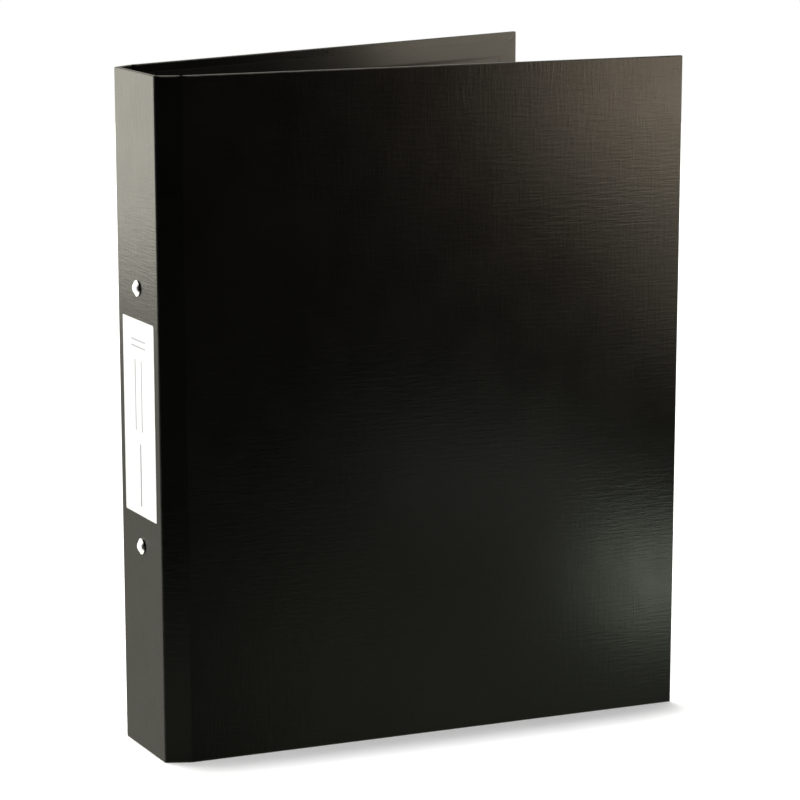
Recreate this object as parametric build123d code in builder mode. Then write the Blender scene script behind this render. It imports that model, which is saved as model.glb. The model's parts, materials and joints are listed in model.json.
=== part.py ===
from build123d import *
from math import cos, degrees, radians, sin
import os

# An A4 ring binder of paper over board, standing on its bottom edges a little open.
# Millimetres. The origin is the middle of the spine's bottom edge, halfway through its thickness.
# +X runs from the spine towards the covers' free edges, -Y is the front cover's side, +Z is up.

# Covers
HEIGHT = 315.0            # a binder for A4 sheets, which are 297 high
SPINE_WIDTH = 45.0        # outside, with the covers square to the spine
STRIP_LENGTH = 12.0       # hinge strip, from crease to crease
COVER_LENGTH = 245.0      # from the board's crease to its free edge
BOARD = 2.0               # grey board
PAPER = 0.2               # outer paper and lining paper
TURN_IN = 12.0            # outer paper folded over on the inside
LINING_MARGIN = 4.0       # turned-in paper that the lining leaves bare
THICKNESS = BOARD + 3 * PAPER
EDGE_ROUND = 0.35         # paper drawn tight round a board's edge

# Creases: the outer paper is the hinge, and the boards are bevelled away from it on the inside
PIVOT_DEPTH = 0.25        # crease line below the outer face
CREASE_RADIUS = 0.25      # half the paper's bulge along the crease
GAP_OUTSIDE = 0.3         # from the crease line to the board, at the outer face
GAP_INSIDE = 1.8          # the same at the inner face

# Closed, a hinge strip still leans out and its cover lies square to the spine. Lying flat, strip
# and cover are in line at 90 degrees, so the spine crease turns 3.5 degrees for the board's 1.
CLOSED_LEAN = 20.0
SPINE_CREASE_SHARE = (90.0 - CLOSED_LEAN) / CLOSED_LEAN
FRONT_OPENING = 6.0       # the front cover as it stands, from closed
BACK_OPENING = 15.0       # the back cover as it stands, from closed

# Label on the spine
LABEL_WIDTH = 35.0
LABEL_HEIGHT = 91.0
LABEL_THICKNESS = 0.12

# Ring mechanism: heights are measured from the spine's inner face, towards +X
MIDDLE = HEIGHT / 2
RING_SPACING = 80.0       # the two-hole standard for A4 sheets
RIVET_SPACING = 120.0
HOUSING_LENGTH = 132.0
HOUSING_HALF_WIDTH = 9.0
HOUSING_HEIGHT = 6.0
HOUSING_WALL = 2.2        # straight part of the side wall, below the shoulder
HOUSING_CROWN = 5.2       # half the flat crown
HOUSING_RAMP = 5.0        # length of the sloping ends
HOUSING_FOOT_ROUND = 0.8
HOUSING_SHOULDER_ROUND = 3.0
SHEET = 0.7               # housing steel
LIP_INNER = 6.6           # half the opening between the rolled lips
LIP_END = 2 * SHEET       # the opening stops this far from the housing's ends
WELL_RADIUS = 4.6         # outside of the well that takes a rivet's clenched end
BLADE_LENGTH = 108.0
BLADE_THICKNESS = 0.9
BLADE_PIVOT_SIDE = 7.7    # the blade's outer edge, which turns in the lip
BLADE_PIVOT_HEIGHT = 1.6
BLADE_INNER = 0.25        # half the slit between the blades
BLADE_DIP = 6.0           # slope of a blade when the rings are closed, degrees
WIRE = 2.8                # ring wire
RING_INSIDE = 25.0        # inside diameter of a closed ring
STUB_SIDE = 5.0           # where the wire stands on the blade
STUB_FOOT = 0.4
STUB_TOP = 2.6
STUB_BEND = 2.2           # radius of the bend inside the housing
STUB_TURN = 60.0          # turn of that bend, degrees
RING_GAP = 0.15           # from each ring half's tip to the middle
PIN_RADIUS = 0.5
PIN_LENGTH = 0.9
PIN_CHAMFER = 0.17
SOCKET_RADIUS = 0.85
SOCKET_DEPTH = 1.3
HOLE_CLEARANCE = 0.02     # round the wire, where it is staked in the blade
NOTCH_INNER = 3.9         # the housing's notches let the wire out and let it swing
NOTCH_FLOOR = 2.9
NOTCH_HALF = 2.0

# Tubular rivets through the spine and the housing
RIVET_HEAD = 3.7
RIVET_DOME = 2.2
RIVET_SHANK = 2.0
RIVET_BORE = 1.3
RIVET_HOLE = 2.1
RIVET_BORE_END = 0.5      # the bore stops this far above the spine's outer face
CLENCH_RADIUS = 3.1
CLENCH_HEIGHT = 0.7
CLENCH_ROUND = 0.25

OUTER_FACE = -THICKNESS / 2
INNER_FACE = THICKNESS / 2
CREASE_X = OUTER_FACE + PIVOT_DEPTH
CREASE_Y = SPINE_WIDTH / 2 - PIVOT_DEPTH
RING_RADIUS = (RING_INSIDE + WIRE) / 2

os.makedirs("parts", exist_ok=True)


def save(part, name):
    """Label a finished piece and write it."""
    part.label = name
    export_step(part, f"parts/{name}.step")


def groove(depth):
    """How far a panel's bevelled edge stands from the crease line, at a depth from the outer face."""
    return GAP_OUTSIDE + (GAP_INSIDE - GAP_OUTSIDE) * depth / THICKNESS


def section(length, low, high, free_inset=None):
    """Corners of a layer between two depths. A panel with no free edge has a crease at both ends."""
    ends = []
    for depth in (low, high):
        ends.append(length - (groove(depth) if free_inset is None else free_inset))
    return [(groove(low), low), (ends[0], low), (ends[1], high), (groove(high), high)]


def panel_plane(start, direction, inward_side):
    """The plane whose x runs along a panel and whose y goes into it, from the crease line's outer face."""
    origin = start - direction.rotate(Axis.Z, 90 * inward_side) * PIVOT_DEPTH
    if inward_side > 0:
        return Plane(origin=origin, x_dir=direction, z_dir=(0, 0, 1))
    return Plane(origin=origin + Vector(0, 0, HEIGHT), x_dir=direction, z_dir=(0, 0, -1))


# The two rivet holes through the spine, as a solid to cut with
with BuildPart() as rivet_drill:
    with BuildSketch(Plane.YZ):
        with Locations((0, MIDDLE)):
            with GridLocations(0, RIVET_SPACING, 1, 2):
                Circle(RIVET_HOLE)
    extrude(amount=THICKNESS, both=True)


def make_board(name, plane, length, free, holes=False):
    """The grey board of one panel."""
    free_inset = PAPER if free else None
    with BuildPart() as board:
        with BuildSketch(plane.offset(PAPER)):
            Polygon(*section(length, PAPER, PAPER + BOARD, free_inset), align=None)
        extrude(amount=HEIGHT - 2 * PAPER)
        if holes:
            add(rivet_drill.part, mode=Mode.SUBTRACT)
    save(board.part, name)
    return board.part


def make_paper(name, plane, length, free, board, holes=False):
    """The outer paper of one panel, turned in over the board's edges on the inside."""
    outer = section(length, 0, BOARD + 2 * PAPER, 0 if free else None)
    window = section(length, BOARD + PAPER, BOARD + 2 * PAPER, TURN_IN if free else None)
    with BuildPart() as paper:
        with BuildSketch(plane):
            Polygon(*outer, align=None)
        extrude(amount=HEIGHT)
        rounded = paper.edges().group_by(Axis.Z)[0] + paper.edges().group_by(Axis.Z)[-1]
        if free:
            along = Axis(plane.origin, plane.x_dir)
            rounded += paper.edges().filter_by(Axis.Z).sort_by(along)[-2:]
        fillet(rounded, EDGE_ROUND)
        add(board, mode=Mode.SUBTRACT)
        with BuildSketch(plane.offset(TURN_IN)):
            Polygon(*window, align=None)
        extrude(amount=HEIGHT - 2 * TURN_IN, mode=Mode.SUBTRACT)
        if holes:
            add(rivet_drill.part, mode=Mode.SUBTRACT)
    save(paper.part, name)


def make_lining(name, plane, length, free, holes=False):
    """The lining of one panel: a sheet over the turned-in paper, and its middle, which lies on the board."""
    sheet = section(length, BOARD + 2 * PAPER, THICKNESS, LINING_MARGIN if free else None)
    middle = section(length, BOARD + PAPER, BOARD + 2 * PAPER, TURN_IN if free else None)
    with BuildPart() as lining:
        with BuildSketch(plane.offset(LINING_MARGIN)):
            Polygon(*sheet, align=None)
        extrude(amount=HEIGHT - 2 * LINING_MARGIN)
        with BuildSketch(plane.offset(TURN_IN)):
            Polygon(*middle, align=None)
        extrude(amount=HEIGHT - 2 * TURN_IN)
        if holes:
            add(rivet_drill.part, mode=Mode.SUBTRACT)
    save(lining.part, name)


def make_crease(name, line):
    """The outer paper's narrow bulge along a crease line."""
    with BuildPart() as crease:
        with BuildSketch(Plane(origin=line, z_dir=(0, 0, 1))):
            Circle(CREASE_RADIUS)
        extrude(amount=HEIGHT)
    save(crease.part, name)


def make_panel(board_name, paper_name, lining_name, plane, length, free=False, holes=False):
    """The three layers of one panel."""
    board = make_board(board_name, plane, length, free, holes)
    make_paper(paper_name, plane, length, free, board, holes)
    make_lining(lining_name, plane, length, free, holes)


# Spine
spine_plane = Plane(origin=(OUTER_FACE, CREASE_Y, 0), x_dir=(0, -1, 0), z_dir=(0, 0, 1))
make_panel("spine_board", "spine_cover_paper", "spine_lining", spine_plane, 2 * CREASE_Y, holes=True)

# Both covers, each a hinge strip and a cover board. The inside of a cover faces the other one.
for cover, side, opening in (("front", -1, FRONT_OPENING), ("back", 1, BACK_OPENING)):
    board_turn = opening / (1 + SPINE_CREASE_SHARE)
    strip_lean = CLOSED_LEAN + SPINE_CREASE_SHARE * board_turn
    strip_direction = Vector(cos(radians(strip_lean)), side * sin(radians(strip_lean)), 0)
    cover_direction = Vector(cos(radians(opening)), side * sin(radians(opening)), 0)
    spine_crease = Vector(CREASE_X, side * CREASE_Y, 0)
    board_crease = spine_crease + strip_direction * STRIP_LENGTH

    make_crease(f"{cover}_spine_crease", spine_crease)
    make_crease(f"{cover}_board_crease", board_crease)
    strip_plane = panel_plane(spine_crease, strip_direction, -side)
    make_panel(
        f"{cover}_hinge_board", f"{cover}_hinge_paper", f"{cover}_hinge_lining", strip_plane, STRIP_LENGTH
    )
    cover_plane = panel_plane(board_crease, cover_direction, -side)
    make_panel(
        f"{cover}_board", f"{cover}_cover_paper", f"{cover}_lining", cover_plane, COVER_LENGTH, free=True
    )
    print(f"{cover}: spine crease {spine_crease.X:.4f} {spine_crease.Y:.4f}, strip lean {strip_lean:.4f}")
    print(f"{cover}: board crease {board_crease.X:.4f} {board_crease.Y:.4f}, opening {opening:.4f}")

# Label, stuck on the spine's outer face between the rivets
with BuildPart() as spine_label:
    with BuildSketch(Plane.YZ.offset(OUTER_FACE - LABEL_THICKNESS)):
        with Locations((0, MIDDLE)):
            Rectangle(LABEL_WIDTH, LABEL_HEIGHT)
    extrude(amount=LABEL_THICKNESS)
save(spine_label.part, "spine_label")


def arch_block(inset):
    """The housing's outer shape drawn in by an inset: an arch along Z with sloping ends."""
    half = HOUSING_LENGTH / 2
    with BuildPart() as block:
        with BuildSketch(Plane.XY.offset(MIDDLE - half)) as arch:
            with BuildLine():
                Polyline(
                    (INNER_FACE, HOUSING_HALF_WIDTH),
                    (INNER_FACE + HOUSING_WALL, HOUSING_HALF_WIDTH),
                    (INNER_FACE + HOUSING_HEIGHT, HOUSING_CROWN),
                    (INNER_FACE + HOUSING_HEIGHT, -HOUSING_CROWN),
                    (INNER_FACE + HOUSING_WALL, -HOUSING_HALF_WIDTH),
                    (INNER_FACE, -HOUSING_HALF_WIDTH),
                    close=True,
                )
            make_face()
            fillet(arch.vertices().group_by(Axis.X)[0], HOUSING_FOOT_ROUND)
            fillet(arch.vertices().group_by(Axis.X)[-1], HOUSING_SHOULDER_ROUND)
            if inset:
                offset(amount=-inset)
        extrude(amount=HOUSING_LENGTH)
        with BuildSketch(Plane.XZ):
            with BuildLine():
                Polyline(
                    (INNER_FACE + inset, MIDDLE - half + inset),
                    (INNER_FACE + HOUSING_HEIGHT, MIDDLE - half + inset + HOUSING_RAMP),
                    (INNER_FACE + HOUSING_HEIGHT, MIDDLE + half - inset - HOUSING_RAMP),
                    (INNER_FACE + inset, MIDDLE + half - inset),
                    close=True,
                )
            make_face()
        extrude(amount=HOUSING_HALF_WIDTH, both=True, mode=Mode.INTERSECT)
    return block.part


arch_outside = arch_block(0)
arch_inside = arch_block(SHEET)

# Ring housing: a nickel-plated sheet steel arch with lips, wells for the rivets and notches for the wire
with BuildPart() as ring_housing:
    add(arch_outside)
    add(arch_inside, mode=Mode.SUBTRACT)
    with BuildSketch(Plane.YZ.offset(INNER_FACE)):
        with Locations((0, MIDDLE)):
            Rectangle(2 * LIP_INNER, HOUSING_LENGTH - 2 * LIP_END)
    extrude(amount=SHEET, mode=Mode.SUBTRACT)
    for well_z in (MIDDLE - RIVET_SPACING / 2, MIDDLE + RIVET_SPACING / 2):
        with BuildSketch(Plane.YZ.offset(INNER_FACE)):
            with Locations((0, well_z)):
                Circle(WELL_RADIUS)
        extrude(amount=HOUSING_HEIGHT)
        with BuildSketch(Plane.YZ.offset(INNER_FACE + SHEET)):
            with Locations((0, well_z)):
                Circle(WELL_RADIUS - SHEET)
        extrude(amount=HOUSING_HEIGHT, mode=Mode.SUBTRACT)
        with BuildSketch(Plane.YZ.offset(INNER_FACE)):
            with Locations((0, well_z)):
                Circle(RIVET_HOLE)
        extrude(amount=SHEET, mode=Mode.SUBTRACT)
    for notch_z in (MIDDLE - RING_SPACING / 2, MIDDLE + RING_SPACING / 2):
        with BuildSketch(Plane.XY.offset(notch_z - NOTCH_HALF)):
            for side, edge in ((-1, Align.MAX), (1, Align.MIN)):
                with Locations((INNER_FACE + NOTCH_FLOOR, side * NOTCH_INNER)):
                    Rectangle(HOUSING_HEIGHT, HOUSING_HALF_WIDTH, align=(Align.MIN, edge))
        extrude(amount=2 * NOTCH_HALF, mode=Mode.SUBTRACT)
save(ring_housing.part, "ring_housing")


def make_blade(name, side):
    """A carrier plate. Its rounded outer edge turns in the housing's lip, and its inner edge dips."""
    dip = radians(BLADE_DIP)
    pivot = (INNER_FACE + BLADE_PIVOT_HEIGHT, side * BLADE_PIVOT_SIDE, MIDDLE - BLADE_LENGTH / 2)
    inward = (-sin(dip), -side * cos(dip), 0)
    with BuildPart() as blade:
        with BuildSketch(Plane(origin=pivot, x_dir=inward, z_dir=(0, 0, 1))):
            Rectangle(BLADE_PIVOT_SIDE - BLADE_INNER, BLADE_THICKNESS, align=(Align.MIN, Align.CENTER))
            Circle(BLADE_THICKNESS / 2)
        extrude(amount=BLADE_LENGTH)
        with BuildSketch(Plane.YZ):
            with Locations((side * STUB_SIDE, MIDDLE)):
                with GridLocations(0, RING_SPACING, 1, 2):
                    Circle(WIRE / 2 + HOLE_CLEARANCE)
        extrude(amount=INNER_FACE + HOUSING_HEIGHT, mode=Mode.SUBTRACT)
    save(blade.part, name)


def make_ring_half(name, side, height):
    """Half a ring: a stub staked in the blade, a bend inside the housing, and the loop to the tip."""
    foot = (INNER_FACE + STUB_FOOT, side * STUB_SIDE)
    shoulder = (INNER_FACE + STUB_TOP, side * STUB_SIDE)
    loop_side = RING_RADIUS * sin(radians(90 - STUB_TURN))
    bend_side = STUB_SIDE + STUB_BEND * (1 - cos(radians(STUB_TURN)))
    run_length = (loop_side - bend_side) / sin(radians(STUB_TURN))
    gap_angle = degrees(RING_GAP / RING_RADIUS)
    with BuildPart() as half:
        with BuildLine(Plane.XY.offset(height)) as wire:
            stub = Line(foot, shoulder)
            bend = JernArc(stub @ 1, stub % 1, STUB_BEND, side * STUB_TURN)
            run = PolarLine(bend @ 1, run_length, direction=bend % 1)
            JernArc(run @ 1, run % 1, RING_RADIUS, -side * (90 + STUB_TURN - gap_angle))
        tip = wire.line @ 1
        with BuildSketch(Plane(origin=(*foot, height), z_dir=(1, 0, 0))):
            Circle(WIRE / 2)
        sweep()
        if side < 0:
            with BuildSketch(Plane(origin=tip, z_dir=(0, 1, 0)).offset(-PIN_LENGTH)):
                Circle(PIN_RADIUS)
            extrude(amount=2 * PIN_LENGTH)
            chamfer(half.faces().sort_by(Axis((0, 0, 0), (0, 1, 0)))[-1].edges(), PIN_CHAMFER)
        else:
            with BuildSketch(Plane(origin=tip, z_dir=(0, 1, 0)).offset(-PIN_LENGTH)):
                Circle(SOCKET_RADIUS)
            extrude(amount=PIN_LENGTH + SOCKET_DEPTH, mode=Mode.SUBTRACT)
    save(half.part, name)


# Blades and ring halves, one blade to each side with half of both rings
for cover, side in (("front", -1), ("back", 1)):
    make_blade(f"{cover}_blade", side)
    make_ring_half(f"lower_{cover}_ring_half", side, MIDDLE - RING_SPACING / 2)
    make_ring_half(f"upper_{cover}_ring_half", side, MIDDLE + RING_SPACING / 2)


def make_rivet(name, height):
    """A tubular rivet: domed head outside, shank through spine and housing, clenched end in the well."""
    clench_start = INNER_FACE + SHEET
    clench_end = clench_start + CLENCH_HEIGHT
    bore_end = OUTER_FACE + RIVET_BORE_END
    dome_radius = (RIVET_HEAD**2 + RIVET_DOME**2) / (2 * RIVET_DOME)
    with BuildPart() as rivet:
        with BuildSketch(Plane(origin=(0, 0, height), x_dir=(1, 0, 0), z_dir=(0, -1, 0))) as profile:
            with BuildLine():
                dome = RadiusArc((OUTER_FACE - RIVET_DOME, 0), (OUTER_FACE, RIVET_HEAD), dome_radius)
                Polyline(
                    dome @ 1,
                    (OUTER_FACE, RIVET_SHANK),
                    (clench_start, RIVET_SHANK),
                    (clench_start, CLENCH_RADIUS),
                    (clench_end, CLENCH_RADIUS),
                    (clench_end, RIVET_BORE),
                    (bore_end, RIVET_BORE),
                    (bore_end, 0),
                    dome @ 0,
                )
            make_face()
            fillet(profile.vertices().group_by(Axis.X)[-1], CLENCH_ROUND)
        revolve(axis=Axis((0, 0, height), (1, 0, 0)))
    save(rivet.part, name)


make_rivet("lower_rivet", MIDDLE - RIVET_SPACING / 2)
make_rivet("upper_rivet", MIDDLE + RIVET_SPACING / 2)
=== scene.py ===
import json
from math import acos, cos, pi, radians, sin, tan

import bmesh
import bpy
import numpy as np
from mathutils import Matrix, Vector

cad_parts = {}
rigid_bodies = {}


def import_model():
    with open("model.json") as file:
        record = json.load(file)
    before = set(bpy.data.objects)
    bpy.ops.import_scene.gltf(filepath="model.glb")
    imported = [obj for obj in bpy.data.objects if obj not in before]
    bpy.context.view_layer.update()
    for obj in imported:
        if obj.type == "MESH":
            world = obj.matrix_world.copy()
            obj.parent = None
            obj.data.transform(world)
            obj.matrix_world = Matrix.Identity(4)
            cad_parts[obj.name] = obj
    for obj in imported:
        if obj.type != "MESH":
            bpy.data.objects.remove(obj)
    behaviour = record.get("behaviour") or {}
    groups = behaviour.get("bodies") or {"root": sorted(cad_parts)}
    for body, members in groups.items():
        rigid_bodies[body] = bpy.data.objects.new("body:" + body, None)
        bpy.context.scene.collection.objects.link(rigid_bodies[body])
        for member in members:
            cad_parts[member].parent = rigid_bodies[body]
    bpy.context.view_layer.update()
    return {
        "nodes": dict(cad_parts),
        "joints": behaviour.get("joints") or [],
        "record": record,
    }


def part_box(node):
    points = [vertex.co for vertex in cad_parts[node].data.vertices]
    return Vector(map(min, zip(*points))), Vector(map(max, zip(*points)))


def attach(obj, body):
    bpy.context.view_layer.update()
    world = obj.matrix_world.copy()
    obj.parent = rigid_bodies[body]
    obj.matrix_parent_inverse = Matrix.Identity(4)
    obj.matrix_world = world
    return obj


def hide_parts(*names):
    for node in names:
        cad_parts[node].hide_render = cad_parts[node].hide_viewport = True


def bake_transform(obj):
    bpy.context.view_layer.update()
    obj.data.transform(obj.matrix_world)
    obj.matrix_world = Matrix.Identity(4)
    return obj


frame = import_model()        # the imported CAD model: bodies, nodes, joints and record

# The looks of an A4 ring binder, built round its CAD frame. Metres. +X runs from the spine towards
# the covers' free edges, -Y is the front cover's side and +Z is up.
MM = 0.001

# Layers of a panel, as depths from its outer face
PAPER = 0.2 * MM
BOARD = 2.0 * MM
TURNED_DEPTH = BOARD + 2 * PAPER
THICKNESS = BOARD + 3 * PAPER
TURN_IN = 12.0 * MM            # outer paper folded over on the inside
LINING_MARGIN = 4.0 * MM       # turned-in paper that the lining leaves bare
EDGE_ROUND = 0.5 * MM          # paper drawn round a board's edge
MITRE_DIP = 0.07 * MM          # where two turned-in flaps meet at a corner
MITRE_HALF = 0.3 * MM

# Creases
PIVOT_DEPTH = 0.25 * MM        # crease line below the outer face
GAP_OUTSIDE = 0.3 * MM         # from a crease line to the bevelled board, at the outer face
GAP_INSIDE = 1.8 * MM          # the same at the inner face
CREASE_HALF = 2.2 * MM         # half the strip of outer paper across a crease
BEND_HALF = 0.8 * MM           # half of what bends in it
SPINE_CREASE_ROUND = 0.9 * MM
BOARD_CREASE_ROUND = 3.0 * MM
SPINE_CREASE_WEAR = 0.25       # how rubbed the paper is along the fold, from 0 to 1
BOARD_CREASE_WEAR = 0.0
GROOVE_LINING = 0.1 * MM
GROOVE_FLOOR = 0.45 * MM

GRID_STEP = 6.0 * MM
WAVE = 0.02 * MM               # how far the paper follows unevenness in the board
WAVE_START = 3 * MM            # in from the edges and creases
WAVE_RISE = 14 * MM

LOW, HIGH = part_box("spine_cover_paper")
HEIGHT = HIGH.z
OUTER_X = LOW.x
INNER_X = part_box("spine_lining")[1].x

JOINTS = {joint["name"]: joint for joint in frame["joints"]}
RATIOS = {c["joint"]: c["ratio"] for c in frame["record"]["behaviour"]["couplings"]}


def unit(vector):
    return vector / np.linalg.norm(vector)


def turned(vector, side):
    """A flat vector turned a quarter turn, anticlockwise for side 1."""
    return side * np.array((-vector[1], vector[0]))


def groove(depth):
    """How far a panel's bevelled edge stands from its crease line, at a depth from the outer face."""
    return GAP_OUTSIDE + (GAP_INSIDE - GAP_OUTSIDE) * depth / THICKNESS


def smooth(t):
    t = np.clip(t, 0, 1)
    return t * t * (3 - 2 * t)


class Panel:
    """A flat panel: u runs along it from a crease line, depth goes into it from its outer face.

    uv_start and uv_sign place it on the covering paper, unrolled from the front crease of the spine."""

    def __init__(self, body, crease, along, inward_side, length, uv_start, uv_sign, free=False):
        self.body = body
        self.crease = np.array(crease)
        self.along = unit(np.array(along, float))
        self.inward = turned(self.along, inward_side)
        self.length = length
        self.uv_start = uv_start
        self.uv_sign = uv_sign
        self.free = free

    def at(self, u, depth, z):
        """Points in the frame for arrays of places on the panel."""
        u, depth, z = np.broadcast_arrays(u, depth, z)
        flat = self.crease + u[..., None] * self.along + (depth - PIVOT_DEPTH)[..., None] * self.inward
        return np.concatenate([flat, z[..., None]], axis=-1)

    def uv(self, u, z):
        """Millimetres on the unrolled paper."""
        u, z = np.broadcast_arrays(u, z)
        return np.stack([(self.uv_start + self.uv_sign * u) / MM, z / MM], axis=-1)


def pivot(joint):
    return np.array(JOINTS[joint]["pos_m"][:2])


def reach(node, start, along):
    """How far a CAD node reaches from a point along a flat direction."""
    corners = np.array([vertex.co[:2] for vertex in frame["nodes"][node].data.vertices])
    return float(((corners - start) @ along).max())


SPINE_LENGTH = float(np.linalg.norm(pivot("back_cover_fold") - pivot("front_cover_fold")))
spine = Panel("spine", pivot("front_cover_fold"), (0, 1), -1, SPINE_LENGTH, 0, 1)
strips, covers = {}, {}
for name, side, uv_start in (("front", -1, 0.0), ("back", 1, SPINE_LENGTH)):
    spine_crease, board_crease = pivot(f"{name}_cover_fold"), pivot(f"{name}_board_fold")
    closed_fold = radians(-JOINTS[f"{name}_cover_fold"]["range_deg"][0])
    opening = closed_fold * (1 + RATIOS[f"{name}_board_fold"])
    strip_length = float(np.linalg.norm(board_crease - spine_crease))
    strips[name] = Panel(
        f"{name}_hinge_strip", spine_crease, board_crease - spine_crease, -side, strip_length, uv_start, side
    )
    along = np.array((cos(opening), side * sin(opening)))
    covers[name] = Panel(
        f"{name}_cover", board_crease, along, -side, reach(f"{name}_cover_paper", board_crease, along),
        uv_start + side * strip_length, side, free=True,
    )


# ------------------------------------------------------------------------------------- mesh making

def finish_mesh(name, vertices, faces, corner_uvs=None, wear=None, sharp_angle=radians(40)):
    """A smooth-shaded object from lists, with its normals outwards."""
    mesh = bpy.data.meshes.new(name)
    mesh.from_pydata([tuple(v) for v in vertices], [], faces)
    if corner_uvs is not None:
        layer = mesh.uv_layers.new(name="Paper")
        layer.data.foreach_set("uv", np.asarray(corner_uvs, np.float32).ravel())
    if wear is not None:
        attribute = mesh.attributes.new("wear", "FLOAT", "POINT")
        attribute.data.foreach_set("value", np.asarray(wear, np.float32))
    work = bmesh.new()
    work.from_mesh(mesh)
    bmesh.ops.recalc_face_normals(work, faces=work.faces)
    work.to_mesh(mesh)
    work.free()
    mesh.shade_smooth()
    mesh.set_sharp_from_angle(angle=sharp_angle)
    piece = bpy.data.objects.new(name, mesh)
    bpy.context.scene.collection.objects.link(piece)
    return piece


WELD = 1e-8


def closed_sheet(name, patches):
    """One closed mesh from the patches of a sheet. A patch is its outside points, its inside points
    beneath them, its UVs and its wear, each as rows by columns. Equal outside points are welded."""
    outside = np.concatenate([patch[0].reshape(-1, 3) for patch in patches])
    inside = np.concatenate([patch[1].reshape(-1, 3) for patch in patches])
    uvs = np.concatenate([patch[2].reshape(-1, 2) for patch in patches])
    wear = np.concatenate([np.ravel(patch[3]) for patch in patches])
    _, first, index = np.unique(np.round(outside / WELD), axis=0, return_index=True, return_inverse=True)
    index = np.ravel(index)
    count = len(first)
    faces, corner_uvs, edges = [], [], {}
    base = 0
    for patch in patches:
        rows, columns = patch[0].shape[:2]
        for row in range(rows - 1):
            for column in range(columns - 1):
                corner = base + row * columns + column
                corners = []
                for place in (corner, corner + 1, corner + columns + 1, corner + columns):
                    if index[place] not in [index[c] for c in corners]:
                        corners.append(place)
                if len(corners) < 3:
                    continue
                faces.append([int(index[c]) for c in corners])
                corner_uvs += [uvs[c] for c in corners]
                faces.append([int(index[c]) + count for c in reversed(corners)])
                corner_uvs += [uvs[c] for c in reversed(corners)]
                for a, b in zip(corners, corners[1:] + corners[:1]):
                    key = frozenset((index[a], index[b]))
                    edges[key] = None if key in edges else (a, b)
        base += rows * columns
    for rim in edges.values():
        if rim:
            a, b = rim
            faces.append([int(index[b]), int(index[a]), int(index[a]) + count, int(index[b]) + count])
            corner_uvs += [uvs[b], uvs[a], uvs[a], uvs[b]]
    vertices = np.concatenate([outside[first], inside[first]])
    return finish_mesh(name, vertices, faces, corner_uvs, np.concatenate([wear[first], wear[first]]))


def stations(low, high, step, extra=()):
    """Grid lines from low to high about a step apart, and at the extra places."""
    even = np.linspace(low, high, max(2, round((high - low) / step) + 1))
    extra = np.array([place for place in extra if low < place < high])
    if len(extra):
        clear = np.abs(even[:, None] - extra[None, :]).min(axis=1) > 0.3 * step
        clear[0] = clear[-1] = True
        even = np.sort(np.concatenate([even[clear], extra]))
    return even


def grid(rows, columns):
    return np.meshgrid(rows, columns, indexing="ij")


# ---------------------------------------------------------------------------------- covering paper

ARC_STEPS = 6
CORNER_STEPS = 6
TURN_IN_STEPS = (0.9 * MM, 1.6 * MM, 3.0 * MM, 4.5 * MM, 6.5 * MM, 9.0 * MM, TURN_IN)
NEAR_CREASE = np.array((0.45, 0.8, 1.2, 1.5, 1.7)) * MM    # columns of turned-in paper beside a crease
NEAR_EDGE = np.array((0.3, 0.8, 2.5)) * MM                 # grid lines beside the rim of the face


def wrap_profile(inset):
    """(place in from the edge, depth, run of paper) round a board's edge, inset inside the outer skin."""
    radius = EDGE_ROUND - inset
    turned_in = TURNED_DEPTH - inset
    points = []
    for step in range(ARC_STEPS + 1):
        angle = pi / 2 * step / ARC_STEPS
        points.append((EDGE_ROUND - radius * sin(angle), EDGE_ROUND - radius * cos(angle)))
    for step in range(ARC_STEPS + 1):
        angle = pi / 2 * step / ARC_STEPS
        points.append((EDGE_ROUND - radius * cos(angle), TURNED_DEPTH - EDGE_ROUND + radius * sin(angle)))
    points += [(step, turned_in) for step in TURN_IN_STEPS]
    return np.array(points)


OUTER_PROFILE = wrap_profile(0)
INNER_PROFILE = wrap_profile(PAPER)
RUN = np.concatenate([[0], np.cumsum(np.linalg.norm(np.diff(OUTER_PROFILE, axis=0), axis=1))])
ON_EDGE = 2 * (ARC_STEPS + 1)


def crease_limit(depth):
    """Where a panel's covering starts beside a crease: the crease's own strip lies on the outer face."""
    return np.where(depth <= PIVOT_DEPTH, CREASE_HALF, groove(depth))


def sin_of(value, length, phase):
    return np.sin(2 * pi * value / length + phase)


def unevenness(panel, u, z):
    """How far the covering dips with the board under it, nothing near its edges and creases."""
    x, y = panel.uv(u, z)[..., 0], z / MM
    waves = (
        sin_of(x, 61, 0.4) * sin_of(y, 83, 1.3) + 0.7 * sin_of(x + 0.6 * y, 97, 2.1)
        + 0.5 * sin_of(x - 0.8 * y, 47, 0.2) + 0.35 * sin_of(y, 29, 2.7) * sin_of(x, 37, 1.9)
    )
    inside = np.minimum(np.minimum(z, HEIGHT - z), u)
    inside = np.minimum(inside, panel.length - u)
    return WAVE * (1 + 0.4 * waves) * smooth((inside - WAVE_START) / WAVE_RISE)


def paper_columns(panel, face_u, face_z):
    """Where the covering leaves the face to wrap round the edges: (u, z, direction, mitre clearance)."""
    along = list(NEAR_CREASE) + list(face_u)
    if not panel.free:
        along += list(panel.length - NEAR_CREASE[::-1])
    low, high = EDGE_ROUND, HEIGHT - EDGE_ROUND
    end = face_u[-1]

    def clearance(distance):
        return min(distance, MITRE_HALF) if panel.free else 0.0

    bottom = [(u, low, (0, -1), clearance(end - u)) for u in along]
    top = [(u, high, (0, 1), clearance(end - u)) for u in reversed(along)]
    if not panel.free:
        return [bottom, top]
    corner = [pi / 2 * step / CORNER_STEPS for step in range(1, CORNER_STEPS)]
    lower = [(end, low, (sin(angle), -cos(angle)), 0.0) for angle in corner]
    upper = [(end, high, (cos(angle), sin(angle)), 0.0) for angle in corner]
    edge = [(end, z, (1, 0), clearance(min(z - low, high - z))) for z in face_z]
    return [bottom + lower + edge + upper + top]


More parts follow.
